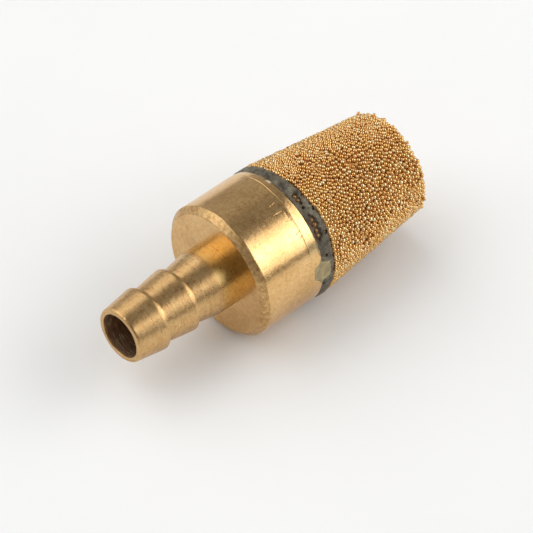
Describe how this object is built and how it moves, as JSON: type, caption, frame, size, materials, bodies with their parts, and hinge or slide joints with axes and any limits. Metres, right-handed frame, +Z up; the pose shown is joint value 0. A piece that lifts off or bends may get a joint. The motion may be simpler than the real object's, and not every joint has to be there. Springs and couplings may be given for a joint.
{
  "type": "pneumatic muffler",
  "caption": "Compressed air exhaust muffler: turned brass body with a barbed hose tail and a cup that holds a tapered thimble of sintered bronze beads, bonded by a dark adhesive ring.",
  "frame": {"origin": "bottom centre of the bounding box: on the ground line below the middle of the muffler, which lies on its side", "axes": "+X along the turning axis from the hose tail towards the closed end of the sintered element, +Z up, +Y to the left seen from the hose tail"},
  "size_m": [0.037, 0.0152, 0.0151],
  "materials": {
    "turned_brass": "turned, semi-bright, fine machining lines",
    "sintered_bronze": "fused spherical beads, bright golden bronze",
    "dark_adhesive": "matte cured epoxy with an uneven edge"
  },
  "bodies": {
    "root": {"barbed_body": "turned_brass", "sintered_element": "sintered_bronze", "adhesive_ring": "dark_adhesive"}
  },
  "joints": []
}
